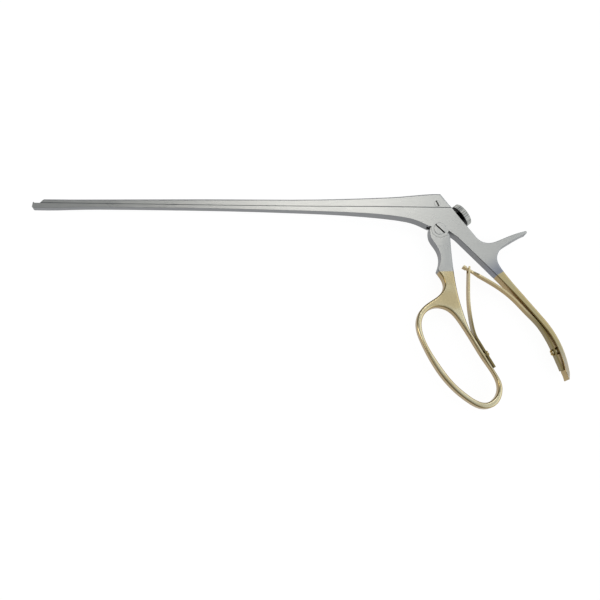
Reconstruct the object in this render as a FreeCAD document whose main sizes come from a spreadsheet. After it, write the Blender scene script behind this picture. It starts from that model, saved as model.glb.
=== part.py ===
import FreeCAD, Part
import math
import os
import Sketcher
from FreeCAD import Placement, Rotation, Vector

# Biopsy punch forceps with a sliding upper shaft, in millimetres.
# X runs along the shafts with the biting tip at -X, Y is up in the side view and Z goes across the
# sides. The origin is on the trigger's pivot axis, at the level of the side face the tool lies on.

SIZES = {
    # the two shafts
    "side_thickness": 9.0,
    "shaft_thickness": 5.5,
    "split_level": 13.1,
    "slide_play": 0.05,
    "tip_reach": 239.5,
    "jaw_depth": 3.1,
    "neck_depth": 2.05,
    "mid_depth": 2.8,
    "rear_depth": 4.35,
    "flare_start": 125.0,
    "flare_end": 30.0,
    "lip_length": 0.75,
    "lip_height": 0.5,
    "bite_gap": 3.7,
    "basket_width": 3.4,
    "basket_depth": 1.9,
    "slide_front_height": 2.3,
    "slide_mid_height": 3.95,
    "slide_rear_height": 8.4,
    "slide_bevel": 0.7,
    "split_bevel": 0.2,
    # guides under the slide
    "tongue_length": 4.0,
    "tongue_neck": 1.2,
    "tongue_head": 2.6,
    "tongue_neck_height": 0.75,
    "tongue_head_height": 0.6,
    "tongue_play": 0.1,
    "front_tongue_inset": 25.5,
    "rear_tongue_station": 60.0,
    "lift_out_travel": 7.0,
    # rear face, knob and stop screw
    "rear_face_distance": 13.9,
    "rear_face_angle": 38.0,
    "stop_offset": 1.0,
    "stop_radius": 1.5,
    "stop_dog_radius": 0.9,
    "stop_dog_reach": 3.6,
    "knob_radius": 7.1,
    "knob_grooves": 30,
    "knob_groove_depth": 0.3,
    "knob_thickness": 3.5,
    "knob_collar_radius": 3.0,
    "knob_collar_length": 1.4,
    # pivot, hub and arm of the trigger
    "cheek_radius": 5.2,
    "seam_play": 0.15,
    "hub_radius": 5.1,
    "slot_radius": 5.5,
    "arm_thickness": 3.6,
    "arm_play": 0.2,
    "arm_width": 4.8,
    "arm_length": 18.0,
    "pivot_radius": 2.0,
    "pivot_head_radius": 3.7,
    "pivot_head_height": 1.5,
    "pin_play": 0.03,
    "drive_height": 15.5,
    "drive_offset": 1.1,
    "drive_radius": 1.2,
    "drive_head_radius": 1.9,
    "drive_head_height": 1.0,
    "fork_play": 0.09,
    "trigger_travel": 12.8,
    # rear handle
    "handle_slope": 50.3,
    "handle_width": 3.35,
    "handle_end_width": 2.5,
    "handle_thickness": 6.4,
    "handle_bend_radius": 58.0,
    "handle_bend": 34.0,
    # trigger's finger ring
    "ring_thickness": 6.8,
    "ring_bevel": 0.6,
    # leaf springs and their screws
    "leaf_thickness": 1.0,
    "leaf_seat_play": 0.02,
    "curved_seat_lift": 0.06,
    "rear_leaf_depth": 4.15,
    "front_leaf_lift": 0.6,
    "spring_boss_radius": 2.2,
    "rear_leaf_width": 5.6,
    "tongue_leaf_width": 3.2,
    "front_leaf_width": 6.6,
    "fork_leaf_gap": 4.0,
    "fork_leaf_depth": 4.0,
    "spring_screw_radius": 1.0,
    "spring_head_radius": 1.9,
    "spring_head_height": 1.5,
    "spring_screw_depth": 2.6,
    "slot_width": 0.9,
}

os.makedirs("parts", exist_ok=True)
doc = FreeCAD.newDocument("BiopsyPunchForceps")
sheet = doc.addObject("Spreadsheet::Sheet", "Sizes")
for row, (alias, amount) in enumerate(SIZES.items(), start=1):
    sheet.set(f"A{row}", alias)
    sheet.set(f"B{row}", str(amount))
    sheet.setAlias(f"B{row}", alias)
doc.recompute()


def size(alias):
    return float(sheet.get(alias))


def turn(x, y, degrees):
    """A point of the side view turned about the pivot."""
    angle = math.radians(degrees)
    return (x * math.cos(angle) - y * math.sin(angle), x * math.sin(angle) + y * math.cos(angle))


def polar(radius, degrees, centre=(0.0, 0.0)):
    x, y = turn(radius, 0, degrees)
    return (centre[0] + x, centre[1] + y)


def step(point, degrees, distance):
    return polar(distance, degrees, point)


# helpers that draw and build
MIDDLE = "Sizes.side_thickness / 2"
middle = size("side_thickness") / 2


def flat(point):
    return Vector(point[0], point[1], 0)


def new_body(label):
    body = doc.addObject("PartDesign::Body", label)
    body.Label = label
    return body


def new_sketch(body, name, role, height=None, turned=None):
    """An empty sketch on one of the body's own planes, lifted and turned if asked."""
    plane = next(p for p in body.Origin.OriginFeatures if p.Role == role)
    sketch = body.newObject("Sketcher::SketchObject", name)
    sketch.AttachmentSupport = [(plane, "")]
    sketch.MapMode = "FlatFace"
    if turned:
        sketch.AttachmentOffset = Placement(Vector(), turned)
    if height:
        sketch.setExpression("AttachmentOffset.Base.z", height)
    return sketch


def spline(points, start_slope=None, end_slope=None):
    curve = Part.BSplineCurve()
    ends = {}
    if start_slope is not None:
        ends["InitialTangent"] = flat(polar(1, start_slope))
    if end_slope is not None:
        ends["FinalTangent"] = flat(polar(1, end_slope))
    curve.interpolate(Points=[flat(p) for p in points], Scale=False, **ends)
    return curve


def draw(sketch, start, strokes):
    """Draws a closed outline. A stroke is an end point, ("arc", via, end) or
    ("curve", start slope, end slope, points)."""
    here = start
    for stroke in strokes:
        if stroke[0] == "arc":
            via, end = stroke[1:]
            sketch.addGeometry(Part.Arc(flat(here), flat(via), flat(end)), False)
        elif stroke[0] == "curve":
            start_slope, end_slope, points = stroke[1:]
            sketch.addGeometry(spline([here] + points, start_slope, end_slope), False)
            end = points[-1]
        else:
            end = stroke
            sketch.addGeometry(Part.LineSegment(flat(here), flat(end)), False)
        here = end


def circle(sketch, centre, radius):
    """A circle whose radius follows an expression of the sheet."""
    index = sketch.addGeometry(Part.Circle(flat(centre), Vector(0, 0, 1), 1.0), False)
    rule = sketch.addConstraint(Sketcher.Constraint("Radius", index, 1.0))
    sketch.setExpression(f"Constraints[{rule}]", radius)


def pad(body, name, sketch, length, symmetric=True, reverse=False):
    feature = body.newObject("PartDesign::Pad", name)
    feature.Profile = sketch
    feature.Midplane = symmetric
    feature.Reversed = reverse
    feature.setExpression("Length", length)
    doc.recompute()
    return feature


def cut(body, name, sketch, length=None, symmetric=True, reverse=False):
    """A pocket, through everything unless a length is given. It has to remove material."""
    before = body.Shape.Volume
    feature = body.newObject("PartDesign::Pocket", name)
    feature.Profile = sketch
    feature.Midplane = symmetric
    feature.Reversed = reverse
    if length:
        feature.setExpression("Length", length)
    else:
        feature.Type = "ThroughAll"
    doc.recompute()
    if body.Shape.Volume > before - 1e-4:
        raise RuntimeError(f"{name} removes nothing")
    return feature


def bevel_edges(body, name, width, chosen):
    """Bevels the edges of the body's last feature for which chosen(edge) is true."""
    base = body.Tip
    names = [f"Edge{i}" for i, edge in enumerate(base.Shape.Edges, start=1) if chosen(edge)]
    feature = body.newObject("PartDesign::Chamfer", name)
    feature.Base = (base, names)
    feature.setExpression("Size", width)
    doc.recompute()
    return feature


# places that several pieces share
split = size("split_level")
tip = -size("tip_reach")
rear_angle = size("rear_face_angle")
slide_floor = split + size("slide_play")
slide_front = tip + size("lip_length") + size("bite_gap")
drive_point = (-size("drive_offset"), size("drive_height"))
arm_lean = math.degrees(math.atan2(size("drive_offset"), size("drive_height")))
tongue_stations = (
    ("Front", size("tip_reach") - size("front_tongue_inset"),
     "Sizes.tip_reach - Sizes.front_tongue_inset"),
    ("Rear", size("rear_tongue_station"), "Sizes.rear_tongue_station"))


def rear_point(y):
    """The point of the slanted rear face at height y."""
    angle = math.radians(rear_angle)
    return ((size("rear_face_distance") - y * math.sin(angle)) / math.cos(angle), y)


# The back edge of the rear handle runs straight, then bends about bend_centre.
handle_start = (9.9, -4.7)
handle_slope = -size("handle_slope")
bend_start = (60.0, -53.55)
bend_centre = step(bend_start, handle_slope - 90, size("handle_bend_radius"))
end_slope = handle_slope - size("handle_bend")


def handle_point(bend, depth=0.0):
    """A point in front of the handle's back edge, after that edge has bent by some degrees."""
    return polar(size("handle_bend_radius") - depth, handle_slope - bend + 90, bend_centre)


# The leaf on the finger ring runs along a straight stretch of the ring's rear limb.
ring_seat_top = (17.1, -62.2)
ring_seat_slope = -59.9
ring_seat_length = 25.9
ring_seat_end = step(ring_seat_top, ring_seat_slope, ring_seat_length)


def narrow_shaft(body):
    """Cuts both sides of a shaft back from the body's thickness to the shaft's own."""
    half = size("shaft_thickness") / 2
    full = size("side_thickness") / 2
    start = -size("flare_start")
    end = -size("flare_end")
    beyond = tip - 5
    for name, side in (("NearSide", 1), ("FarSide", -1)):
        sketch = new_sketch(body, f"{body.Label}_{name}Relief", "XZ_Plane")

        def at(x, z):
            return (x, middle + side * z)

        flare = [at(start + 0.44 * (end - start), half + 0.2 * (full - half)),
                 at(start + 0.7 * (end - start), half + 0.52 * (full - half)), at(end, full)]
        draw(sketch, at(beyond, half), [
            at(start, half), ("curve", 0, 0, flare), at(end, full + 1), at(beyond, full + 1),
            at(beyond, half)])
        cut(body, f"{body.Label}_{name}Cut", sketch)


def guide_profile(sketch, neck, head, top, neck_height, head_height):
    """A T standing on its head under the height top."""
    shoulder = top - neck_height
    bottom = shoulder - head_height
    draw(sketch, (top, middle - neck / 2), [
        (shoulder, middle - neck / 2), (shoulder, middle - head / 2), (bottom, middle - head / 2),
        (bottom, middle + head / 2), (shoulder, middle + head / 2), (shoulder, middle + neck / 2),
        (top, middle + neck / 2), (top, middle - neck / 2)])


# 1. Lower shaft, body and rear handle, forged in one piece
def make_fixed_frame():
    body = new_body("fixed_shaft_and_handle")
    outline = new_sketch(body, "FrameOutline", "XY_Plane", MIDDLE)
    jaw_floor = split - size("jaw_depth")
    lip_top = split + size("lip_height")
    corner = (-size("cheek_radius") - 1.1, 1.4)
    cheek_right = polar(size("cheek_radius"), -11)
    width = size("handle_width")
    slim = size("handle_end_width")
    last = size("handle_bend")
    draw(outline, (tip + 0.3, lip_top), [
        (tip - 0.2, split - 2.4),
        ("arc", (tip + 0.15, jaw_floor + 0.2), (tip + 1.0, jaw_floor)),
        (tip + 8.0, jaw_floor),
        ("curve", 0, -22, [
            (tip + 24, split - size("neck_depth") - 0.5), (tip + 60, split - size("neck_depth")),
            (-140, split - size("neck_depth")), (-83, split - size("mid_depth")),
            (-41, split - size("rear_depth")), (-23.5, 7.0), (-12.2, 4.2), corner]),
        polar(size("cheek_radius"), 164.4),
        ("arc", polar(size("cheek_radius"), -90), cheek_right),
        handle_start,
        ("curve", handle_slope + 4.7, end_slope - 3, [
            step(handle_start, handle_slope + 4.7, 36), handle_point(0, width),
            handle_point(12, width - 0.35), handle_point(22, width - 0.6),
            handle_point(last - 1, slim)]),
        ("curve", end_slope - 3, None, [(71.5, -86.6), (72.0, -88.6)]),
        ("arc", (72.5, -89.2), (72.9, -88.5)),
        ("curve", 86, 180 + end_slope, [handle_point(last)]),
        ("arc", handle_point(last / 2), handle_point(0)),
        step(handle_point(0), handle_slope + 180, 17.0),
        ("curve", 180 + handle_slope, 24, [
            (41.3, -31.0), (36.5, -24.5), (33.5, -17.6), (35.3, -12.5), (39.1, -9.2),
            (45.2, -5.4), (51.2, -2.2)]),
        ("arc", (52.1, -1.2), (51.3, -0.5)),
        ("curve", 196, 180 - 52, [
            (43.0, -3.2), (36.2, -6.1), (29.2, -8.3), (24.3, -7.2), rear_point(-4.2)]),
        rear_point(split),
        (tip + size("lip_length") + 0.05, split),
        (tip + size("lip_length"), lip_top),
        (tip + 0.3, lip_top)])
    pad(body, "FrameForging", outline, "Sizes.side_thickness")
    narrow_shaft(body)

    # the handle and its spur get thinner away from the body
    for name, side in (("Near", 1), ("Far", -1)):
        relief = new_sketch(body, f"Handle{name}Relief", "XZ_Plane",
                            turned=Rotation(Vector(0, 1, 0), -handle_slope))
        thick = size("side_thickness") / 2
        thin = size("handle_thickness") / 2

        def at(along, z):
            return (along + 10.2, middle + side * z)

        draw(relief, at(8, thick), [
            ("curve", 0, 0, [at(21, thick - 0.45 * (thick - thin)), at(38, thin)]),
            at(140, thin), at(140, thick + 2), at(8, thick + 2), at(8, thick)])
        cut(body, f"Handle{name}Cut", relief)

    # room for the trigger's hub and arm between the two cheeks
    arm_room = new_sketch(body, "ArmRoom", "XY_Plane", MIDDLE)
    radius = size("slot_radius")
    wall_top = polar(radius, 64)
    draw(arm_room, (-radius - 1.9, split + 1), [
        (-radius - 1.9, -9.0),
        (polar(radius, -20)[0], -9.0),
        polar(radius, -20),
        ("arc", polar(radius, 20), wall_top),
        (wall_top[0], split + 1),
        (-radius - 1.9, split + 1)])
    cut(body, "ArmRoomCut", arm_room, "Sizes.arm_thickness + 2 * Sizes.arm_play")

    bore = new_sketch(body, "PivotBore", "XY_Plane")
    circle(bore, (0, 0), "Sizes.pivot_radius + Sizes.pin_play")
    cut(body, "PivotBoreCut", bore)
    seat = new_sketch(body, "PivotHeadSeat", "XY_Plane", "Sizes.side_thickness")
    circle(seat, (0, 0), "Sizes.pivot_head_radius + Sizes.pin_play")
    cut(body, "PivotHeadSeatCut", seat, "Sizes.pivot_head_height", symmetric=False)

    # threaded hole of the stop screw, square to the rear face
    screw_hole = new_sketch(body, "StopScrewHole", "YZ_Plane",
                            turned=Rotation(Vector(0, 1, 0), rear_angle))
    circle(screw_hole, (-size("stop_offset"), middle), "Sizes.stop_radius + Sizes.pin_play")
    cut(body, "StopScrewHoleCut", screw_hole, symmetric=False, reverse=True)

    # T grooves of the slide, each with a wide window where the tongue lifts out
    for name, station, place in tongue_stations:
        play = size("tongue_play")
        reach = "Sizes.tongue_length + Sizes.bite_gap + Sizes.lift_out_travel + 2"
        rear_end = f"-({place}) + Sizes.tongue_length / 2 + Sizes.lift_out_travel + 1"
        groove = new_sketch(body, f"{name}Groove", "YZ_Plane", rear_end)
        guide_profile(groove, size("tongue_neck") + 2 * play, size("tongue_head") + 2 * play,
                      split + 0.01, size("tongue_neck_height") - play + 0.01,
                      size("tongue_head_height") + 2 * play)
        cut(body, f"{name}GrooveCut", groove, reach, symmetric=False)
        window = new_sketch(body, f"{name}Window", "XZ_Plane", "-Sizes.split_level")
        half = size("tongue_head") / 2 + play
        window_start = -station - size("tongue_length") / 2 + size("lift_out_travel") - 0.5
        window_end = -station + size("tongue_length") / 2 + size("lift_out_travel") + 1
        draw(window, (window_start, middle - half), [
            (window_end, middle - half), (window_end, middle + half), (window_start, middle + half),
            (window_start, middle - half)])
        cut(body, f"{name}WindowCut", window, "Sizes.tongue_neck_height", symmetric=False,
            reverse=True)

    # basket of the lower jaw
    basket = new_sketch(body, "Basket", "XZ_Plane", "-Sizes.split_level")
    half = size("basket_width") / 2
    front = tip + size("lip_length") + half - 0.6
    back = slide_front + 0.8
    draw(basket, (front, middle - half), [
        (back, middle - half), ("arc", (back + half * 0.8, middle), (back, middle + half)),
        (front, middle + half), ("arc", (front - half * 0.75, middle), (front, middle - half))])
    cut(body, "BasketCut", basket, "Sizes.basket_depth", symmetric=False, reverse=True)
    return body


# 2. Upper shaft, which slides on the lower one
def make_slide():
    body = new_body("sliding_shaft")
    outline = new_sketch(body, "SlideOutline", "XY_Plane", MIDDLE)
    rear_top = split + size("slide_rear_height")
    front_top = (slide_front + 2.1, split + size("slide_front_height"))
    draw(outline, (slide_front, slide_floor), [
        front_top,
        ("curve", 0, -2, [
            (-171, split + 0.79 * size("slide_mid_height")), (-120, split + size("slide_mid_height") - 0.1),
            (-90, split + size("slide_mid_height") + 0.1), (-59, split + 4.7), (-41, split + 5.35),
            (-23.5, rear_top - 2.0), (-9.0, rear_top - 0.45), rear_point(rear_top)]),
        rear_point(slide_floor),
        (slide_front, slide_floor)])
    pad(body, "SlideBar", outline, "Sizes.side_thickness")
    narrow_shaft(body)

    # room for the fork of the trigger's arm, closed at the top
    arm_room = new_sketch(body, "ForkRoom", "XY_Plane", MIDDLE)
    front_wall = drive_point[0] - size("arm_width") / 2 - 1.7
    rear_wall = drive_point[0] + size("arm_width") / 2 + 1.6
    roof = size("arm_length") + 0.9
    draw(arm_room, (front_wall, split - 1), [
        (rear_wall, split - 1), (rear_wall, roof), (front_wall, roof), (front_wall, split - 1)])
    cut(body, "ForkRoomCut", arm_room, "Sizes.arm_thickness + 2 * Sizes.arm_play")

    bore = new_sketch(body, "DriveBore", "XY_Plane")
    circle(bore, drive_point, "Sizes.drive_radius + Sizes.pin_play")
    cut(body, "DriveBoreCut", bore)
    seat = new_sketch(body, "DriveHeadSeat", "XY_Plane", "Sizes.side_thickness")
    circle(seat, drive_point, "Sizes.drive_head_radius + Sizes.pin_play")
    cut(body, "DriveHeadSeatCut", seat, "Sizes.drive_head_height", symmetric=False)

    # T tongues that run in the lower shaft
    for name, station, place in tongue_stations:
        rear_end = f"-({place}) + Sizes.tongue_length / 2"
        tongue = new_sketch(body, f"{name}Tongue", "YZ_Plane", rear_end)
        guide_profile(tongue, size("tongue_neck"), size("tongue_head"), slide_floor + 0.5,
                      size("tongue_neck_height") + size("slide_play") + 0.5,
                      size("tongue_head_height"))
        pad(body, f"{name}TonguePad", tongue, "Sizes.tongue_length", symmetric=False, reverse=True)

    # hollow in the bevelled biting end
    hollow = new_sketch(body, "BiteHollow", "YZ_Plane", f"{slide_front} + 4.5")
    circle(hollow, (slide_floor + 0.35, middle), "Sizes.basket_width * 0.4")
    cut(body, "BiteHollowCut", hollow, "6", symmetric=False)

    def on_side(edge):
        box = edge.BoundBox
        return box.XLength > 20 and abs(edge.CenterOfMass.z - middle) > size("shaft_thickness") / 2 - 0.1

    bevel_edges(body, "TopBevel", "Sizes.slide_bevel",
                lambda edge: on_side(edge) and edge.BoundBox.YMin > split + 1)
    bevel_edges(body, "SplitBevel", "Sizes.split_bevel",
                lambda edge: on_side(edge) and edge.BoundBox.YMax < split + 1)
    return body


# 3. Trigger with its finger ring, hub and forked arm
RING_HOLE = [
    (-1.2, -46.7), (4.8, -48.8), (11.0, -56.1), (17.5, -66.8), (23.8, -77.5), (29.5, -86.4),
    (31.6, -93.4), (29.6, -99.3), (24.4, -102.6), (14.6, -98.9), (5.2, -90.6), (-2.1, -80.9),
    (-8.0, -71.3), (-11.7, -61.6), (-11.4, -53.4), (-7.1, -48.2)]


def make_trigger():
    body = new_body("trigger_with_finger_ring")
    clear = size("cheek_radius") + size("seam_play")
    plate = new_sketch(body, "TriggerOutline", "XY_Plane", MIDDLE)
    shoulder_front = polar(clear, 173)
    shoulder_rear = polar(clear, -27)
    draw(plate, shoulder_rear, [
        ("arc", polar(clear, -90), shoulder_front),
        (-5.9, 0.55),
        ("curve", -100, -112, [
            (-5.7, -4.8), (-2.0, -11.0), (-0.4, -15.0), (-0.2, -19.0), (-2.0, -25.1)]),
        ("curve", -55, ring_seat_slope + 180, [
            (0.9, -29.4), (2.0, -33.9), (-0.3, -38.8), (-6.5, -43.6), (-12.8, -49.3),
            (-14.9, -57.2), (-12.4, -66.9), (-7.1, -77.9), (-1.4, -87.0), (5.8, -95.3),
            (14.9, -102.6), (23.3, -106.0), (29.8, -103.9), (33.3, -98.2), (33.6, -92.1),
            ring_seat_end]),
        ring_seat_top,
        ("curve", ring_seat_slope + 180, 92, [
            (13.4, -53.0), (9.6, -39.0), (7.5, -26.0), (6.3, -12.0), (6.0, -5.2)]),
        (5.5, -3.4),
        shoulder_rear])
    pad(body, "TriggerPlate", plate, "Sizes.side_thickness + 2")

    # each side is one smooth surface that draws in from the body's thickness to the ring's
    for name, side in (("Near", 1), ("Far", -1)):
        relief = new_sketch(body, f"Ring{name}Relief", "YZ_Plane", "-60")
        thick = size("side_thickness") / 2
        thin = size("ring_thickness") / 2

        def at(y, z):
            return (y, middle + side * z)

        poles = [at(2, thick), at(-15, thick), at(-30, thick), at(-42, thin), at(-58, thin),
                 at(-115, thin)]
        curve = Part.BSplineCurve()
        curve.buildFromPoles([flat(p) for p in poles], False, 3)
        relief.addGeometry(curve, False)
        rest = [poles[-1], at(-115, thick + 2), at(12, thick + 2), at(12, thick), poles[0]]
        for here, there in zip(rest, rest[1:]):
            relief.addGeometry(Part.LineSegment(flat(here), flat(there)), False)
        cut(body, f"Ring{name}Cut", relief, "150", symmetric=False, reverse=True)

    hole = new_sketch(body, "FingerHole", "XY_Plane", "-10")
    rim = Part.BSplineCurve()
    rim.interpolate(Points=[flat(p) for p in RING_HOLE], PeriodicFlag=True)
    hole.addGeometry(rim, False)
    cut(body, "FingerHoleCut", hole, "30", symmetric=False, reverse=True)

    def on_side(edge):
        box = edge.BoundBox
        level = abs(edge.CenterOfMass.z - middle)
        return box.YMax < -2 and level > 3.1 and edge.Length > 3 and box.ZLength < 2

    bevel_edges(body, "RingBevel", "Sizes.ring_bevel", on_side)

    # hub and arm, thin enough to swing between the cheeks
    hub = new_sketch(body, "HubAndArm", "XY_Plane", MIDDLE)
    half = size("arm_width") / 2
    reach = size("arm_length")
    radius = size("hub_radius")
    root = math.sqrt(radius ** 2 - half ** 2)
    side = math.degrees(math.atan2(half, root))
    left_root = turn(-half, root, arm_lean)
    right_root = turn(half, root, arm_lean)
    draw(hub, right_root, [
        turn(half, reach - 0.8, arm_lean),
        ("arc", turn(0, reach, arm_lean), turn(-half, reach - 0.8, arm_lean)),
        left_root,
        ("arc", polar(radius, 150), polar(radius, 185)),
        (-4.2, -6.5),
        (5.0, -6.5),
        polar(radius, -27),
        ("arc", polar(radius, 90 + arm_lean - side - 45), right_root)])
    pad(body, "HubAndArmPad", hub, "Sizes.arm_thickness")

    fork = new_sketch(body, "Fork", "XY_Plane", MIDDLE)
    half = size("drive_radius") + size("fork_play")
    pin_distance = math.hypot(*drive_point)
    draw(fork, turn(-half, reach + 1, arm_lean), [
        turn(-half, pin_distance - 0.1, arm_lean),
        ("arc", turn(0, pin_distance - 0.1 - half, arm_lean), turn(half, pin_distance - 0.1, arm_lean)),
        turn(half, reach + 1, arm_lean),
        turn(-half, reach + 1, arm_lean)])
    cut(body, "ForkCut", fork)

    bore = new_sketch(body, "TriggerBore", "XY_Plane")
    circle(bore, (0, 0), "Sizes.pivot_radius + Sizes.pin_play")
    cut(body, "TriggerBoreCut", bore)

    # notch whose two walls meet the stop screw's tip at the ends of the travel
    notch = new_sketch(body, "StopNotch", "XY_Plane", MIDDLE)
    travel = size("trigger_travel")
    play = 0.1
    bottom = size("stop_dog_reach") - 0.3
    low = size("stop_offset") - size("stop_dog_radius") - play
    high = size("stop_offset") + size("stop_dog_radius") + play
    upper_wall = [turn(bottom, -low, rear_angle), turn(6.2, -low, rear_angle)]
    lower_wall = [turn(6.2, -high, rear_angle - travel), turn(bottom, -high, rear_angle - travel)]
    draw(notch, upper_wall[0], [upper_wall[1], lower_wall[0], lower_wall[1], upper_wall[0]])
    cut(body, "StopNotchCut", notch, "Sizes.arm_thickness + 0.2")
    return body


# 4. Screws: each is turned about its own axis, head up, seat of the head at zero
def make_screw(label, stations, slot_at, slot_turn, slot_depth):
    """stations are (radius, height) from the lower end of the shank to the top of the head."""
    body = new_body(label)
    half = new_sketch(body, f"{label}_HalfSection", "XZ_Plane")
    profile = [(0, stations[0][1])] + stations + [(0, stations[-1][1])]
    draw(half, profile[0], profile[1:] + profile[:1])
    turned = body.newObject("PartDesign::Revolution", f"{label}_Turned")
    turned.Profile = half
    turned.ReferenceAxis = (half, ["V_Axis"])
    turned.Angle = 360
    doc.recompute()
    if slot_at:
        slot = new_sketch(body, f"{label}_Slot", "XY_Plane", f"{slot_at}")
        reach = max(radius for radius, height in stations) + 1
        width = size("slot_width") / 2
        corners = [turn(x, y, slot_turn)
                   for x, y in ((-reach, -width), (reach, -width), (reach, width), (-reach, width))]
        draw(slot, corners[0], corners[1:] + corners[:1])
        cut(body, f"{label}_SlotCut", slot, str(slot_depth), symmetric=False)
    return body


def make_pivot_screw():
    radius = size("pivot_radius")
    head = size("pivot_head_radius")
    height = size("pivot_head_height")
    length = size("side_thickness") - height
    body = make_screw("pivot_screw", [
        (radius - 0.2, -length), (radius, -length + 0.2), (radius, 0), (head, 0),
        (head, height), (head - 0.35, height + 0.2)], height + 0.2, -44, 0.9)
    body.Placement = Placement(Vector(0, 0, length), Rotation())
    return body


def make_drive_screw():
    radius = size("drive_radius")
    head = size("drive_head_radius")
    height = size("drive_head_height")
    length = size("side_thickness") - height
    body = make_screw("drive_screw", [
        (radius - 0.15, -length), (radius, -length + 0.15), (radius, 0), (head, 0),
        (head, height), (head - 0.2, height + 0.1)], height + 0.1, -64, 0.6)
    body.Placement = Placement(Vector(*drive_point, length), Rotation())
    return body


def make_stop_screw():
    """The stem points inwards from the rear face, so its axis is the face's own normal."""
    foot = turn(size("rear_face_distance"), -size("stop_offset"), rear_angle)
    outward = Vector(*polar(1, rear_angle), 0)
    place = Placement(Vector(*foot, middle), Rotation(Vector(0, 0, 1), outward))
    stem = size("stop_radius")
    dog = size("stop_dog_radius")
    collar = size("knob_collar_length")
    inside = size("rear_face_distance") - size("stop_dog_reach")
    thread_end = size("rear_face_distance") - size("slot_radius") - 0.2
    socket = collar + size("knob_thickness") - 1.0
    screw = make_screw("stop_screw_stem", [
        (dog - 0.2, -inside), (dog, -inside + 0.2), (dog, -thread_end), (stem, -thread_end),
        (stem, socket)], None, 0, 0)
    screw.Placement = place
    outer = size("knob_radius")
    top = collar + size("knob_thickness")
    knob = new_body("stop_screw_knob")
    half = new_sketch(knob, "KnobHalfSection", "XZ_Plane")
    bore = stem
    profile = [
        (bore, 0), (size("knob_collar_radius"), 0), (size("knob_collar_radius"), collar),
        (outer, collar), (outer, top - 0.5), (outer - 0.5, top), (0, top), (0, socket),
        (bore, socket)]
    draw(half, profile[0], profile[1:] + profile[:1])
    turned = knob.newObject("PartDesign::Revolution", "KnobTurned")
    turned.Profile = half
    turned.ReferenceAxis = (half, ["V_Axis"])
    turned.Angle = 360
    doc.recompute()
    groove = new_sketch(knob, "KnobGroove", "XY_Plane", "Sizes.knob_collar_length - 1")
    depth = size("knob_groove_depth")
    wide = 0.28 * math.pi * 2 * outer / size("knob_grooves")
    draw(groove, (outer + 0.2, -wide - 0.1), [
        (outer + 0.2, wide + 0.1), (outer - depth, 0), (outer + 0.2, -wide - 0.1)])
    first = cut(knob, "KnobGrooveCut", groove, "Sizes.knob_thickness + 3", symmetric=False, reverse=True)
    ring = knob.newObject("PartDesign::PolarPattern", "KnobGrooves")
    ring.Originals = [first]
    ring.Axis = (half, ["V_Axis"])
    ring.Angle = 360
    ring.setExpression("Occurrences", "Sizes.knob_grooves")
    knob.Tip = ring
    doc.recompute()
    knob.Placement = place
    return screw, knob


# 5. Leaf springs and their screws
rear_screw_bend = 20.0
front_screw_along = 14.5


def make_rear_leaf():
    """The strip stands off the handle, rests on a boss at its screw and touches at its lower end."""
    body = new_body("rear_leaf_spring")
    outline = new_sketch(body, "RearLeafOutline", "XY_Plane", MIDDLE)
    thick = size("leaf_thickness")
    depth = size("rear_leaf_depth")
    free_slope = 149.0
    hook_end = (14.0, -21.5)
    free_path = [(50.5, -48.7), (44.0, -41.6), (35.1, -34.2), (23.8, -27.3), hook_end]
    slopes = [handle_slope + 1.5, handle_slope + 4, -37.0, free_slope - 180, free_slope - 180]
    front_path = [step(point, slope - 90, thick) for point, slope in zip(free_path, slopes)]
    front_path.reverse()
    draw(outline, handle_point(32.3, 2.75), [
        ("curve", None, 180 + handle_slope - 23, [handle_point(28, depth - 0.6), handle_point(23, depth)]),
        ("arc", handle_point(rear_screw_bend, depth), handle_point(16, depth)),
        ("curve", 180 + handle_slope - 16, free_slope, [
            handle_point(8, depth - 0.15), handle_point(1, depth - 0.45)] + free_path),
        front_path[0],
        ("curve", free_slope - 180, handle_slope - 16, front_path[1:] + [
            handle_point(1, depth - 0.45 + thick), handle_point(8, depth - 0.15 + thick),
            handle_point(16, depth + thick)]),
        ("arc", handle_point(rear_screw_bend, depth + thick), handle_point(23, depth + thick)),
        ("curve", handle_slope - 23, None, [
            handle_point(28, depth - 0.6 + thick), handle_point(32.3, 2.75 + thick)]),
        handle_point(32.3, 2.75)])
    pad(body, "RearLeafStrip", outline, "Sizes.rear_leaf_width")
    # behind its cross-shaped end the strip is a narrow tongue
    for name, side in (("Near", 1), ("Far", -1)):
        taper = new_sketch(body, f"RearLeaf{name}Taper", "XZ_Plane")
        wide = size("rear_leaf_width") / 2
        slim = size("tongue_leaf_width") / 2

        def at(x, z):
            return (x, middle + side * z)

        draw(taper, at(15.6, slim), [
            at(19.5, slim), at(23, wide), at(23, wide + 1), at(15.6, wide + 1), at(15.6, slim)])
        cut(body, f"RearLeaf{name}TaperCut", taper)
    hole = new_sketch(body, "RearLeafHole", "YZ_Plane",
                      turned=Rotation(Vector(0, 1, 0), handle_slope - rear_screw_bend + 90))
    across = turn(*handle_point(rear_screw_bend), -(handle_slope - rear_screw_bend + 90))[1]
    circle(hole, (across, middle), "Sizes.spring_screw_radius + Sizes.pin_play")
    cut(body, "RearLeafHoleCut", hole)
    return body


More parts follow.
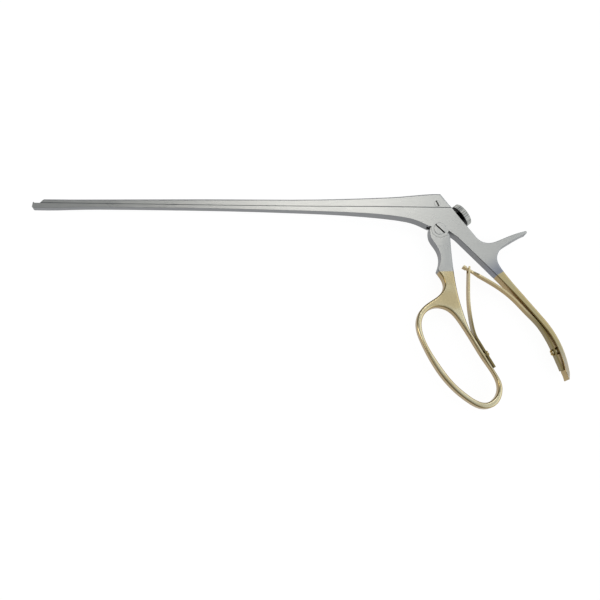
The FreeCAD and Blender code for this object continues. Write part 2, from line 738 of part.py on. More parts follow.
def make_front_leaf():
    body = new_body("front_leaf_spring")
    outline = new_sketch(body, "FrontLeafOutline", "XY_Plane", MIDDLE)
    play = size("front_leaf_lift")
    thick = size("leaf_thickness")

    def seat(along, lift):
        return step(step(ring_seat_top, ring_seat_slope, along), ring_seat_slope + 90, lift)

    last = ring_seat_length - 2.2
    top = -22.3
    left_path = [(17.95, -60.5), (17.25, -57.0), (16.3, -50.0), (15.85, -43.0), (15.9, -36.0), (16.6, top)]
    turns = [-72, -79, -85, -88.5, -91, -93]
    right_path = [step(point, slope + 90, thick) for point, slope in zip(left_path, turns)]
    right_path.reverse()
    draw(outline, seat(last, play), [
        seat(4.0, play),
        ("curve", ring_seat_slope + 180, None, left_path),
        right_path[0],
        ("curve", None, ring_seat_slope, right_path[1:] + [seat(4.0, play + thick)]),
        seat(last, play + thick),
        seat(last, play)])
    pad(body, "FrontLeafStrip", outline, "Sizes.front_leaf_width")
    # open fork that holds the other leaf's end
    gap = new_sketch(body, "FrontLeafFork", "YZ_Plane")
    half = size("fork_leaf_gap") / 2
    draw(gap, (top + 1, middle - half), [
        (top - size("fork_leaf_depth"), middle - half),
        (top - size("fork_leaf_depth"), middle + half),
        (top + 1, middle + half), (top + 1, middle - half)])
    cut(body, "FrontLeafForkCut", gap)
    hole = new_sketch(body, "FrontLeafHole", "YZ_Plane",
                      turned=Rotation(Vector(0, 1, 0), ring_seat_slope + 90))
    centre = seat(front_screw_along, 0)
    across = turn(*centre, -(ring_seat_slope + 90))[1]
    circle(hole, (across, middle), "Sizes.spring_screw_radius + Sizes.pin_play")
    cut(body, "FrontLeafHoleCut", hole)
    return body


def make_spring_screw(label, seat, outward):
    radius = size("spring_screw_radius")
    head = size("spring_head_radius")
    height = size("spring_head_height")
    depth = size("leaf_thickness") + size("spring_screw_depth")
    body = make_screw(label, [
        (radius, -depth), (radius, 0), (head, 0), (head, height * 0.45),
        (head - 0.45, height * 0.85), (head - 1.0, height)], height, 20, 0.55)
    axis = Vector(*polar(1, outward), 0)
    body.Placement = Placement(Vector(*seat, middle), Rotation(Vector(0, 0, 1), axis))
    return body


def sketch_across(body, name, point, outward):
    """A sketch square to a direction of the side view, with the place of the point on it."""
    along, across = turn(*point, -outward)
    sketch = new_sketch(body, name, "YZ_Plane")
    facing = Rotation(Vector(0, 1, 0), outward)
    sketch.AttachmentOffset = Placement(facing.multVec(Vector(0, 0, along)), facing)
    return sketch, (across, middle)


def boss_for_spring_screw(body, name, seat, outward):
    """Round boss under the leaf with the blind hole for the screw's shank."""
    top = step(seat, outward, -size("leaf_seat_play"))
    face, centre = sketch_across(body, f"{name}Boss", top, outward)
    circle(face, centre, "Sizes.spring_boss_radius")
    pad(body, f"{name}BossPad", face, "2", symmetric=False, reverse=True)
    hole, centre = sketch_across(body, f"{name}Hole", step(seat, outward, 0.1), outward)
    circle(hole, centre, "Sizes.spring_screw_radius + Sizes.pin_play")
    cut(body, f"{name}HoleCut", hole, "Sizes.spring_screw_depth + 0.2", symmetric=False)


fixed_frame = make_fixed_frame()
slide = make_slide()
trigger = make_trigger()
pivot_screw = make_pivot_screw()
drive_screw = make_drive_screw()
stop_stem, stop_knob = make_stop_screw()
rear_leaf = make_rear_leaf()
front_leaf = make_front_leaf()

rear_outward = handle_slope - rear_screw_bend - 90
rear_seat = handle_point(rear_screw_bend, size("rear_leaf_depth"))
rear_head_seat = step(rear_seat, rear_outward, size("leaf_thickness") + size("curved_seat_lift"))
rear_spring_screw = make_spring_screw("rear_spring_screw", rear_head_seat, rear_outward)
boss_for_spring_screw(fixed_frame, "RearSpring", rear_seat, rear_outward)

front_outward = ring_seat_slope + 90
front_seat = step(step(ring_seat_top, ring_seat_slope, front_screw_along), front_outward,
                  size("front_leaf_lift"))
front_head_seat = step(front_seat, front_outward, size("leaf_thickness"))
front_spring_screw = make_spring_screw("front_spring_screw", front_head_seat, front_outward)
boss_for_spring_screw(trigger, "FrontSpring", front_seat, front_outward)

pieces = [fixed_frame, slide, trigger, pivot_screw, drive_screw, stop_stem, stop_knob, rear_leaf,
          front_leaf, rear_spring_screw, front_spring_screw]
doc.recompute()
for item in doc.Objects:
    if "Invalid" in item.State or "Error" in item.State:
        raise RuntimeError(f"{item.Label} failed: {item.State}")
for piece in pieces:
    shape = piece.Shape
    if shape.isNull() or not shape.isValid() or len(shape.Solids) != 1:
        raise RuntimeError(f"{piece.Label} is not one valid solid")
    shape.exportStep(f"parts/{piece.Label}.step")
    box = shape.BoundBox
    print(f"{piece.Label}: {shape.Volume:.1f} mm3, X {box.XMin:.1f}..{box.XMax:.1f},"
          f" Y {box.YMin:.1f}..{box.YMax:.1f}, Z {box.ZMin:.1f}..{box.ZMax:.1f}")
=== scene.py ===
import bmesh
import bpy
import math
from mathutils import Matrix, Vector


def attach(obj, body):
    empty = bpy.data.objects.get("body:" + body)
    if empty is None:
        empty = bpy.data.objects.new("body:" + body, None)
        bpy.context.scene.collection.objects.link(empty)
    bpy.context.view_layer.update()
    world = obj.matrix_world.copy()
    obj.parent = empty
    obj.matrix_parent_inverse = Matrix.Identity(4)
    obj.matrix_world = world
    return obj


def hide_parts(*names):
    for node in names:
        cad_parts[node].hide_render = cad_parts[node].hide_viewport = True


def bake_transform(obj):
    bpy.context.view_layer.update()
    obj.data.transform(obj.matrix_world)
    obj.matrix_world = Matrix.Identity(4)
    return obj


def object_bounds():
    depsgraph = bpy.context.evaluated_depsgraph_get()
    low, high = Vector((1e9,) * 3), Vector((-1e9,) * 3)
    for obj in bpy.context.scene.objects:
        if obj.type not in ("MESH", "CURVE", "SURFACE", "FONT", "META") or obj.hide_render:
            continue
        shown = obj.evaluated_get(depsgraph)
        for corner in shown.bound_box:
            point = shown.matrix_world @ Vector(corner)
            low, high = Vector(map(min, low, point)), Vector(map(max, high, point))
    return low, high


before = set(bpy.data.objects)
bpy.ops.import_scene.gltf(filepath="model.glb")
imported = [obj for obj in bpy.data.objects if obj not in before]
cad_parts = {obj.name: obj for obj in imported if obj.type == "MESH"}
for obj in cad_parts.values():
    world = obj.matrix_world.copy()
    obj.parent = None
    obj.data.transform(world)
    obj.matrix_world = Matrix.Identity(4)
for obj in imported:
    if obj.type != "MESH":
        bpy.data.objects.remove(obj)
cad_box = [list(corner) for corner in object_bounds()]

MM = 0.001


# picking and cleaning up
def only(*objects):
    """Leaves nothing selected but these objects, the first of them active."""
    bpy.ops.object.select_all(action="DESELECT")
    for item in objects:
        item.select_set(True)
    bpy.context.view_layer.objects.active = objects[0]


def settle(piece):
    """Moves the object's place and turn into its mesh."""
    only(piece)
    bpy.ops.object.transform_apply(location=True, rotation=True, scale=True)


# working on copies of the carried-over pieces
SIDE_MIDDLE = 4.5 * MM
OUTLINE_FROM = 2.2 * MM  # edges this far from the middle of the thickness lie on the outline
SIDE_FACING = 0.8  # a side face looks at least this far sideways
WALL_FACING = 0.3  # and a wall at most this far


def merged_copy(node, name, with_hole=False):
    """A copy of a carried-over piece with its loose triangles joined, ready to be worked on. Flat
    faces become one face each, or triangles again where a large hole goes through them."""
    piece = bpy.data.objects.new(name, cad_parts[node].data.copy())
    bpy.context.scene.collection.objects.link(piece)
    only(piece)
    bpy.ops.mesh.customdata_custom_splitnormals_clear()
    bpy.ops.object.mode_set(mode="EDIT")
    bpy.ops.mesh.select_all(action="SELECT")
    bpy.ops.mesh.remove_doubles(threshold=0.001 * MM)
    bpy.ops.mesh.dissolve_limited(angle_limit=math.radians(0.4))
    if with_hole:
        bpy.ops.mesh.quads_convert_to_tris(quad_method="BEAUTY", ngon_method="BEAUTY")
    bpy.ops.mesh.normals_make_consistent(inside=False)
    bpy.ops.object.mode_set(mode="OBJECT")
    return piece


def round_outline(piece, widest, steps, share_at):
    """Rounds the edges between the sides and the walls. share_at(x, y, flatter, steeper, facing) gives
    each edge its share of the widest rounding, from its place in mm, how far its two faces look
    sideways, and the direction of the steeper one."""
    mesh = bmesh.new()
    mesh.from_mesh(piece.data)
    shares = mesh.edges.layers.float.new("bevel_weight_edge")
    for edge in mesh.edges:
        if not edge.is_manifold or not edge.is_convex:
            continue
        wall = min(edge.link_faces, key=lambda face: abs(face.normal.z))
        levels = sorted(abs(face.normal.z) for face in edge.link_faces)
        middle = (edge.verts[0].co + edge.verts[1].co) / 2
        if levels[1] - levels[0] > 0.2 and abs(middle.z - SIDE_MIDDLE) > OUTLINE_FROM:
            edge[shares] = share_at(middle.x / MM, middle.y / MM, levels[1], levels[0], wall.normal)
    mesh.to_mesh(piece.data)
    mesh.free()
    rounding = piece.modifiers.new("rounding", "BEVEL")
    rounding.limit_method = "WEIGHT"
    rounding.width = widest
    rounding.segments = steps
    rounding.use_clamp_overlap = False
    only(piece)
    bpy.ops.object.modifier_apply(modifier="rounding")


def between(value, start, end, first, last):
    """From first to last while the value goes from start to end."""
    share = min(max((value - start) / (end - start), 0.0), 1.0)
    return first + (last - first) * share


def smooth(piece, angle):
    """Soft shading over edges blunter than the angle, led by the larger faces."""
    only(piece)
    bpy.ops.object.shade_smooth_by_angle(angle=math.radians(angle))
    led = piece.modifiers.new("led by large faces", "WEIGHTED_NORMAL")
    led.keep_sharp = True
    led.weight = 100
    bpy.ops.object.modifier_apply(modifier="led by large faces")


def finish_piece(piece, node, material):
    """Puts the worked piece in the carried-over one's place."""
    piece.data.materials.clear()
    piece.data.materials.append(material)
    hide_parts(node)


# shader groups
def new_group(name, inputs, outputs):
    """An empty shader group with its named inputs and outputs."""
    group = bpy.data.node_groups.new(name, "ShaderNodeTree")
    for label, kind, start in inputs:
        socket = group.interface.new_socket(label, in_out="INPUT", socket_type=kind)
        if start is not None:
            socket.default_value = start
    for label, kind in outputs:
        group.interface.new_socket(label, in_out="OUTPUT", socket_type=kind)
    begin = group.nodes.new("NodeGroupInput")
    finish = group.nodes.new("NodeGroupOutput")
    return group, begin, finish


def math_node(tree, operation, first, second=None, third=None):
    """One step of arithmetic on numbers or on other nodes' outputs."""
    node = tree.nodes.new("ShaderNodeMath")
    node.operation = operation
    for socket, value in zip(node.inputs, (first, second, third)):
        if value is None:
            continue
        if isinstance(value, (int, float)):
            socket.default_value = value
        else:
            tree.links.new(value, socket)
    return node.outputs[0]


def mix_colours(tree, share, first, second):
    """The first colour where the share is 0, the second where it is 1."""
    node = tree.nodes.new("ShaderNodeMix")
    node.data_type = "RGBA"
    for socket, value in ((node.inputs[0], share), (node.inputs[6], first), (node.inputs[7], second)):
        if isinstance(value, (int, float)):
            socket.default_value = value
        elif isinstance(value, tuple):
            socket.default_value = (*value, 1)
        else:
            tree.links.new(value, socket)
    return node.outputs[2]


def noise(tree, vector, scale, detail=2.0, roughness=0.5):
    """Soft random values between 0 and 1."""
    node = tree.nodes.new("ShaderNodeTexNoise")
    node.inputs["Scale"].default_value = scale
    node.inputs["Detail"].default_value = detail
    node.inputs["Roughness"].default_value = roughness
    tree.links.new(vector, node.inputs["Vector"])
    return node.outputs["Fac"]


def fade_along(tree, place, start, end, most=1.0):
    """A soft rise from 0 to the most between two levels along the handles, in mm."""
    split = tree.nodes.new("ShaderNodeSeparateXYZ")
    tree.links.new(place, split.inputs[0])
    share = tree.nodes.new("ShaderNodeMapRange")
    share.interpolation_type = "SMOOTHSTEP"
    for label, value in (("From Min", start * MM), ("From Max", end * MM), ("To Max", most)):
        share.inputs[label].default_value = value
    tree.links.new(split.outputs[1], share.inputs["Value"])
    return share.outputs[0]


def place_group(tree, group, **values):
    """A use of a shader group, each input given by its name with _ for a space."""
    node = tree.nodes.new("ShaderNodeGroup")
    node.node_tree = group
    for label, value in values.items():
        socket = node.inputs[label.replace("_", " ")]
        if isinstance(value, (int, float)):
            socket.default_value = value
        else:
            tree.links.new(value, socket)
    return node


def build_grinding():
    """Fine parallel grinding marks that run along X of the vector, with larger soft clouds."""
    group, begin, finish = new_group(
        "grinding_marks",
        [("Vector", "NodeSocketVector", None), ("Spacing", "NodeSocketFloat", 0.25),
         ("Stretch", "NodeSocketFloat", 40.0)],
        [("Marks", "NodeSocketFloat"), ("Clouds", "NodeSocketFloat"), ("Patches", "NodeSocketFloat")])
    split = group.nodes.new("ShaderNodeSeparateXYZ")
    group.links.new(begin.outputs["Vector"], split.inputs[0])
    across = math_node(group, "DIVIDE", 1.0 / MM, begin.outputs["Spacing"])
    along = math_node(group, "DIVIDE", across, begin.outputs["Stretch"])
    join = group.nodes.new("ShaderNodeCombineXYZ")
    group.links.new(math_node(group, "MULTIPLY", split.outputs[0], along), join.inputs[0])
    group.links.new(math_node(group, "MULTIPLY", split.outputs[1], across), join.inputs[1])
    group.links.new(math_node(group, "MULTIPLY", split.outputs[2], across), join.inputs[2])
    group.links.new(noise(group, join.outputs[0], 1.0, 3.0, 0.65), finish.inputs["Marks"])
    group.links.new(noise(group, begin.outputs["Vector"], 60.0, 3.0, 0.55), finish.inputs["Clouds"])
    patches = group.nodes.new("ShaderNodeMapRange")
    patches.interpolation_type = "SMOOTHSTEP"
    patches.inputs["From Min"].default_value = 0.40
    patches.inputs["From Max"].default_value = 0.62
    group.links.new(noise(group, begin.outputs["Vector"], 75.0, 2.0, 0.5), patches.inputs["Value"])
    group.links.new(patches.outputs[0], finish.inputs["Patches"])
    return group


def build_flank():
    """How far a face looks to the side of the tool: 1 on the two flat sides, 0 on the edge faces."""
    group, begin, finish = new_group("flank_mask", [], [("Flank", "NodeSocketFloat")])
    geometry = group.nodes.new("ShaderNodeNewGeometry")
    turn = group.nodes.new("ShaderNodeVectorTransform")
    turn.vector_type = "NORMAL"
    turn.convert_from = "WORLD"
    turn.convert_to = "OBJECT"
    group.links.new(geometry.outputs["Normal"], turn.inputs[0])
    split = group.nodes.new("ShaderNodeSeparateXYZ")
    group.links.new(turn.outputs[0], split.inputs[0])
    side = math_node(group, "ABSOLUTE", split.outputs[2])
    ramp = group.nodes.new("ShaderNodeMapRange")
    ramp.interpolation_type = "SMOOTHSTEP"
    ramp.inputs["From Min"].default_value = 0.72
    ramp.inputs["From Max"].default_value = 0.98
    group.links.new(side, ramp.inputs["Value"])
    group.links.new(ramp.outputs[0], finish.inputs["Flank"])
    return group


def build_plating():
    """1 where the gold plating is: on the far side of a line across the side view."""
    group, begin, finish = new_group(
        "plating_mask",
        [("Vector", "NodeSocketVector", None), ("Across X", "NodeSocketFloat", 0.0),
         ("Across Y", "NodeSocketFloat", -1.0), ("Distance", "NodeSocketFloat", 0.0)],
        [("Plated", "NodeSocketFloat"), ("Border", "NodeSocketFloat")])
    split = group.nodes.new("ShaderNodeSeparateXYZ")
    group.links.new(begin.outputs["Vector"], split.inputs[0])
    first = math_node(group, "MULTIPLY", split.outputs[0], begin.outputs["Across X"])
    second = math_node(group, "MULTIPLY", split.outputs[1], begin.outputs["Across Y"])
    reach = math_node(group, "SUBTRACT", math_node(group, "ADD", first, second), begin.outputs["Distance"])
    ripple = noise(group, begin.outputs["Vector"], 220.0)
    wander = math_node(group, "MULTIPLY_ADD", ripple, 0.5 * MM, -0.25 * MM)
    ramp = group.nodes.new("ShaderNodeMapRange")
    ramp.interpolation_type = "SMOOTHSTEP"
    ramp.inputs["From Min"].default_value = -0.25 * MM
    ramp.inputs["From Max"].default_value = 0.25 * MM
    group.links.new(math_node(group, "ADD", reach, wander), ramp.inputs["Value"])
    group.links.new(ramp.outputs[0], finish.inputs["Plated"])
    # the border output rises over 13 mm up to the line and carries the painted shade beside the plating
    border_shade = group.nodes.new("ShaderNodeMapRange")
    border_shade.interpolation_type = "SMOOTHSTEP"
    border_shade.inputs["From Min"].default_value = -13.0 * MM
    border_shade.inputs["From Max"].default_value = 0.0
    group.links.new(reach, border_shade.inputs["Value"])
    group.links.new(border_shade.outputs[0], finish.inputs["Border"])
    return group


GRINDING = build_grinding()
FLANK = build_flank()
PLATING = build_plating()

# The edge colours, the bluish steel beside the plating, the gold near the handle and the deep shade below
# are painted shade; the ring's pale gold is a painted highlight
STEEL_SIDE = (0.53, 0.53, 0.51)
SHADED_STEEL_EDGE = (0.22, 0.225, 0.235)
GOLD_SIDE = (0.76, 0.66, 0.42)
SHADED_GOLD_EDGE = (0.40, 0.27, 0.08)
GOLD_WARM = (0.64, 0.49, 0.23)
HANDLE_GOLD = (0.55, 0.475, 0.27)
RING_HIGHLIGHT_GOLD = (0.82, 0.74, 0.50)
WORN_TIP = (0.62, 0.58, 0.52)
GOLD_SHADE_NEAR_HANDLE = (0.20, 0.15, 0.04)
BLUISH_STEEL_SHADE = (0.20, 0.22, 0.29)
DEEP_SHADE = (0.015, 0.015, 0.014)
SHADED_SLOT = (0.11, 0.11, 0.10)
TONE = 0.16  # how much the grinding marks and the clouds vary the colour


def metal(name, grain_turn=0.0, spacing=0.25, rough=0.30, edge=SHADED_STEEL_EDGE, gold=GOLD_SIDE, plating=None,
          border_shade=0.0, all_gold=False, slot_level=None, slot_colour=DEEP_SHADE, inner_face=None, handle_shade=None,
          wear_and_highlight=None):
    """Ground and brushed steel, plated with gold on one side of a line or all over. The painted shade near
    the handle and the paler end, worn on the handle's tip and a painted highlight on the ring, are given by
    two levels along the handles in mm, the paler end also by its colour."""
    material = bpy.data.materials.new(name)
    material.use_nodes = True
    tree = material.node_tree
    shader = tree.nodes["Principled BSDF"]
    shader.inputs["Metallic"].default_value = 1.0
    place = tree.nodes.new("ShaderNodeTexCoord").outputs["Object"]
    turned = tree.nodes.new("ShaderNodeMapping")
    turned.inputs["Rotation"].default_value = (0, 0, grain_turn)
    tree.links.new(place, turned.inputs["Vector"])
    grinding = place_group(tree, GRINDING, Vector=turned.outputs[0], Spacing=spacing)
    flank = place_group(tree, FLANK).outputs["Flank"]
    # painted shade: the edge faces get the darker edge colour, the flat sides the steel's own
    plain = mix_colours(tree, flank, edge, STEEL_SIDE)
    if wear_and_highlight:
        # the gold is paler towards the end: wear on the handle's tip, a painted highlight on the ring
        start, end, pale = wear_and_highlight
        gold = mix_colours(tree, fade_along(tree, place, start, end), gold, pale)
    warm = math_node(tree, "MULTIPLY", grinding.outputs["Patches"], 0.45)
    # painted shade: the gold's edge faces are darker and browner
    gold = mix_colours(tree, flank, SHADED_GOLD_EDGE, mix_colours(tree, warm, gold, GOLD_WARM))
    if all_gold:
        colour = gold
        plated = None
    elif plating:
        across, distance = plating
        mask = place_group(tree, PLATING, Vector=place, Across_X=across[0], Across_Y=across[1],
                           Distance=distance)
        plated = mask.outputs["Plated"]
        # painted bluish shade on the bare steel beside the plating
        shaded_border = math_node(tree, "MULTIPLY", mask.outputs["Border"], border_shade)
        colour = mix_colours(tree, plated, mix_colours(tree, shaded_border, plain, BLUISH_STEEL_SHADE), gold)
    else:
        colour = plain
        plated = None
    if slot_level is not None:
        # painted shade: the slot's floor and the seam round the head are dark, down to the middle of the
        # screw
        height = tree.nodes.new("ShaderNodeSeparateXYZ")
        tree.links.new(place, height.inputs[0])
        middle = (slot_level + SIDE_MIDDLE) / 2
        sunk = math_node(tree, "COMPARE", height.outputs[2], middle, middle - SIDE_MIDDLE)
        colour = mix_colours(tree, sunk, colour, slot_colour)
    if inner_face:
        # painted shade: what lies behind this plane is coloured nearly black
        across, distance = inner_face
        outside = place_group(tree, PLATING, Vector=place, Across_X=across[0], Across_Y=across[1],
                              Distance=distance).outputs["Plated"]
        colour = mix_colours(tree, outside, DEEP_SHADE, colour)
    if handle_shade:
        # painted shade: the gold is darker where it lies close to the handle
        start, end = handle_shade
        colour = mix_colours(tree, fade_along(tree, place, start, end, 0.85), colour, GOLD_SHADE_NEAR_HANDLE)
    # grinding marks and handling clouds vary the colour a little
    tone = math_node(tree, "MULTIPLY_ADD", grinding.outputs["Marks"], TONE, 1 - TONE / 2)
    cloud = math_node(tree, "MULTIPLY_ADD", grinding.outputs["Clouds"], TONE, 1 - TONE / 2)
    tint = tree.nodes.new("ShaderNodeVectorMath")
    tint.operation = "SCALE"
    tree.links.new(colour, tint.inputs[0])
    tree.links.new(math_node(tree, "MULTIPLY", tone, cloud), tint.inputs["Scale"])
    tree.links.new(tint.outputs[0], shader.inputs["Base Color"])
    level = math_node(tree, "MULTIPLY_ADD", grinding.outputs["Marks"], 0.16, rough - 0.08)
    softer = math_node(tree, "MULTIPLY_ADD", grinding.outputs["Clouds"], 0.12, -0.06)
    level = math_node(tree, "ADD", level, softer)
    if plated is not None:
        level = math_node(tree, "MULTIPLY_ADD", plated, -0.07, level)
    tree.links.new(level, shader.inputs["Roughness"])
    bump = tree.nodes.new("ShaderNodeBump")
    bump.inputs["Strength"].default_value = 0.25
    bump.inputs["Distance"].default_value = 0.02 * MM
    tree.links.new(grinding.outputs["Marks"], bump.inputs["Height"])
    tree.links.new(bump.outputs[0], shader.inputs["Normal"])
    return material


def dress(node, material):
    """Gives a carried-over piece its finish."""
    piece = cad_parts[node]
    for index in range(len(piece.material_slots)):
        piece.material_slots[index].material = material


# the handle's plating starts at a line that crosses it a little askew
EDGE_A = Vector((36.9, -25.5)) * MM
EDGE_B = Vector((31.1, -29.1)) * MM
line = (EDGE_A - EDGE_B).normalized()
handle_across = (line.y, -line.x)
handle_distance = handle_across[0] * EDGE_A.x + handle_across[1] * EDGE_A.y

frame_finish = metal("frame_steel_and_gold", gold=HANDLE_GOLD, plating=(handle_across, handle_distance),
                     border_shade=0.75, wear_and_highlight=(-66.0, -86.0, WORN_TIP))
slide_finish = metal("slide_steel")
trigger_finish = metal("trigger_steel_and_gold", grain_turn=math.radians(80),
                       plating=((0.0, -1.0), 25.9 * MM), wear_and_highlight=(-42.0, -54.0, RING_HIGHLIGHT_GOLD))
spring_gold = metal("spring_gold", all_gold=True, rough=0.26, handle_shade=(-44.0, -58.0))
# the knob's inner face, square to the stop screw; behind it shade is painted
KNOB_INNER = ((math.cos(math.radians(38)), math.sin(math.radians(38))), 15.45 * MM)
SLOT_LEVEL = 8.85 * MM
pivot_finish = metal("screw_steel", grain_turn=math.radians(30), spacing=0.18, slot_level=SLOT_LEVEL)
drive_finish = metal("drive_screw_steel", grain_turn=math.radians(-20), spacing=0.18, slot_level=SLOT_LEVEL,
                     slot_colour=SHADED_SLOT)
dress("stop_screw_stem", metal("stem_steel"))
# the knob's edge faces are painted less shaded than the other steel's
dress("stop_screw_knob", metal("knob_steel", rough=0.40, edge=(0.50, 0.50, 0.46), inner_face=KNOB_INNER))
dress("rear_spring_screw", metal("gold_screw", all_gold=True))
dress("front_spring_screw", metal("gold_screw_front", all_gold=True))


# the forging of the lower shaft and the rear handle
PIVOT_SEAT = 5.4  # in mm: the round seat of the pivot screw keeps its sharp edges


def handle_share(x, y, flatter, steeper, facing):
    """Fine edges on the body and the spur, and a rounded handle that runs out to a sharper end. The
    limits of each stretch are in mm."""
    if flatter < SIDE_FACING or steeper > WALL_FACING or math.hypot(x, y) < PIVOT_SEAT:
        return 0.0
    if x < 8:
        return 0.15
    if y > -9:
        return between(x, 36, 49, 0.45, 0.15)
    if facing.x < 0 and facing.y < 0:
        return min(between(x, 6, 40, 0.15, 0.55), between(y, -62, -84, 0.55, 0.30))
    return min(between(y, -10, -23, 0.45, 1.0), between(y, -61, -84, 1.0, 0.30))


forging = merged_copy("fixed_shaft_and_handle", "shaft_and_handle")
round_outline(forging, 1.1 * MM, 4, handle_share)
smooth(forging, 30)
finish_piece(forging, "fixed_shaft_and_handle", frame_finish)
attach(forging, "frame")


# the upper shaft
DRIVE_SCREW_X = -1.1
DRIVE_SCREW_Y = 15.5


def slide_share(x, y, flatter, steeper, facing):
    """The slide's rear corner is rounded, the drive screw's hole is not."""
    rear = x > -8 and facing.x > 0.5 and flatter > SIDE_FACING and steeper < WALL_FACING
    return 1.0 if rear and math.hypot(x - DRIVE_SCREW_X, y - DRIVE_SCREW_Y) > 3.0 else 0.0


slide = merged_copy("sliding_shaft", "upper_shaft")
round_outline(slide, 0.9 * MM, 4, slide_share)
smooth(slide, 30)
finish_piece(slide, "sliding_shaft", slide_finish)
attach(slide, "slide")


# the trigger
RING_FROM = -26.0  # in mm: below this the neck widens into the finger ring
HUB_RADIUS = 5.7  # in mm


def trigger_share(x, y, flatter, steeper, facing):
    """Fine edges on the neck, and a crowned bar round the fingers."""
    if y > RING_FROM:
        return 0.4 if math.hypot(x, y) > HUB_RADIUS and steeper < WALL_FACING else 0.0
    crown = min((RING_FROM - y) / 16.0, 1.0)
    if flatter > 0.9 and steeper > 0.4:
        return 0.2 + 0.8 * crown
    return 0.1 + 0.2 * crown


trigger = merged_copy("trigger_with_finger_ring", "trigger_and_ring", with_hole=True)
round_outline(trigger, 0.5 * MM, 3, trigger_share)
smooth(trigger, 50)
finish_piece(trigger, "trigger_with_finger_ring", trigger_finish)
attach(trigger, "trigger")


# the two slotted screws of the mechanism
for node, name, finish_of_head, body in (("pivot_screw", "pivot", pivot_finish, "frame"),
                                         ("drive_screw", "drive", drive_finish, "slide")):
    screw = merged_copy(node, name)
    smooth(screw, 40)
    finish_piece(screw, node, finish_of_head)
    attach(screw, body)


# leaf springs, cut into short lengths
CUT_SPACING = 2.0 * MM


def bending_leaf(name, node, start, direction, count):
    """A copy of the leaf with that many cuts across it from the start on."""
    leaf = merged_copy(node, name)
    only(leaf)
    bpy.ops.object.mode_set(mode="EDIT")
    for number in range(count):
        bpy.ops.mesh.select_all(action="SELECT")
        bpy.ops.mesh.bisect(plane_co=start + direction * (CUT_SPACING * number), plane_no=direction)
    bpy.ops.object.mode_set(mode="OBJECT")
    smooth(leaf, 30)
    finish_piece(leaf, node, spring_gold)
    return leaf


# the crossing of the two leaves, and where each leaves its handle
HOOK = Vector((16.3, -23.4, 4.5)) * MM
REAR_ROOT = Vector((50.5, -49.2, 4.5)) * MM
FRONT_ROOT = Vector((17.8, -60.0, 4.5)) * MM

to_hook = (HOOK - REAR_ROOT).normalized()
rear_leaf = bending_leaf("rear_leaf", "rear_leaf_spring", REAR_ROOT, to_hook, 22)
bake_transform(rear_leaf)
to_hook = (HOOK - FRONT_ROOT).normalized()
front_leaf = bending_leaf("front_leaf", "front_leaf_spring", FRONT_ROOT, to_hook, 19)
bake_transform(front_leaf)


# table, light and camera
def white_ground(name, level, camera_share, metal_share):
    """A pale matt ground that the camera sees nearly white and the metal a little darker, with soft
    shadows on it."""
    material = bpy.data.materials.new(name)
    material.use_nodes = True
    tree = material.node_tree
    shader = tree.nodes["Principled BSDF"]
    shader.inputs["Base Color"].default_value = (0.88, 0.88, 0.88, 1)
    shader.inputs["Roughness"].default_value = 0.9
    shader.inputs["Specular IOR Level"].default_value = 0.1
    rays = tree.nodes.new("ShaderNodeLightPath")
    glow = tree.nodes.new("ShaderNodeEmission")
    glow.inputs["Color"].default_value = (1, 1, 1, 1)
    glow.inputs["Strength"].default_value = level
    reflected = math_node(tree, "MAXIMUM", rays.outputs["Is Glossy Ray"],
                          rays.outputs["Is Transmission Ray"])
    share = math_node(tree, "MULTIPLY", rays.outputs["Is Camera Ray"], camera_share)
    share = math_node(tree, "MAXIMUM", share, math_node(tree, "MULTIPLY", reflected, metal_share))
    mix = tree.nodes.new("ShaderNodeMixShader")
    tree.links.new(share, mix.inputs[0])
    tree.links.new(shader.outputs[0], mix.inputs[1])
    tree.links.new(glow.outputs[0], mix.inputs[2])
    tree.links.new(mix.outputs[0], tree.nodes["Material Output"].inputs["Surface"])
    return material


lowest = cad_box[0][2]
bpy.ops.mesh.primitive_plane_add(size=8.0, location=(-0.1, -0.1, lowest))
table = bpy.context.object
table.name = "table"
settle(table)
table.data.materials.append(white_ground("table_white", 1.10, 0.85, 0.5))

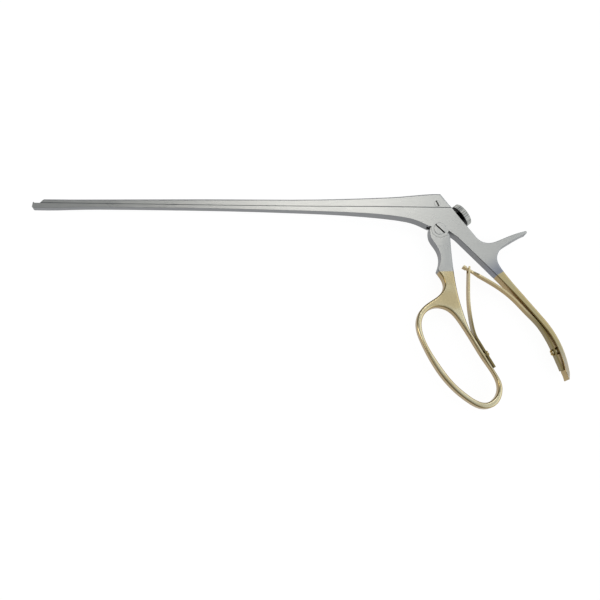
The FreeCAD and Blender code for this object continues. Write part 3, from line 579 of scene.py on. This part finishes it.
world = bpy.data.worlds.new("studio")
bpy.context.scene.world = world
world.use_nodes = True
sky = world.node_tree
background = sky.nodes["Background"]
background.inputs["Color"].default_value = (0.93, 0.97, 1.0, 1)
# the room is lit from behind the handles: its walls there are bright, and dark on the other side
ROOM_BRIGHT_SIDE = Vector((1.0, 0.05, 0.0)).normalized()
toward = sky.nodes.new("ShaderNodeVectorMath")
toward.operation = "DOT_PRODUCT"
toward.inputs[1].default_value = ROOM_BRIGHT_SIDE
sky.links.new(sky.nodes.new("ShaderNodeTexCoord").outputs["Generated"], toward.inputs[0])
room = sky.nodes.new("ShaderNodeMapRange")
room.interpolation_type = "SMOOTHSTEP"
for label, value in (("From Min", -0.35), ("From Max", 0.90), ("To Min", 0.25), ("To Max", 1.15)):
    room.inputs[label].default_value = value
sky.links.new(toward.outputs["Value"], room.inputs["Value"])
sky.links.new(room.outputs[0], background.inputs["Strength"])


def lamp(name, place, target, width, height, power, colour):
    """A softbox that faces its target."""
    data = bpy.data.lights.new(name, "AREA")
    data.shape = "RECTANGLE"
    data.size = width
    data.size_y = height
    data.energy = power
    data.color = colour
    item = bpy.data.objects.new(name, data)
    bpy.context.scene.collection.objects.link(item)
    item.location = place
    aim = Vector(target) - Vector(place)
    item.rotation_euler = aim.to_track_quat("-Z", "Y").to_euler()


lamp("overhead_softbox", (-0.01, 0.42, 1.05), (-0.06, 0.0, 0.0), 0.36, 0.34, 0.80, (1.0, 0.98, 0.94))
lamp("side_softbox", (-0.75, -0.15, 0.50), (0.02, -0.05, 0.0), 0.25, 0.60, 1.2, (1.0, 0.99, 0.97))

camera_data = bpy.data.cameras.new("camera")
camera_data.sensor_width = 36.0
camera_data.lens = 61.44
camera = bpy.data.objects.new("camera", camera_data)
bpy.context.scene.collection.objects.link(camera)
camera.location = (-0.1102, -0.1663, 0.588)
camera.rotation_euler = (math.radians(11.92), math.radians(-2.70), 0.0)
bpy.context.scene.camera = camera
bpy.context.scene.view_settings.view_transform = "Standard"
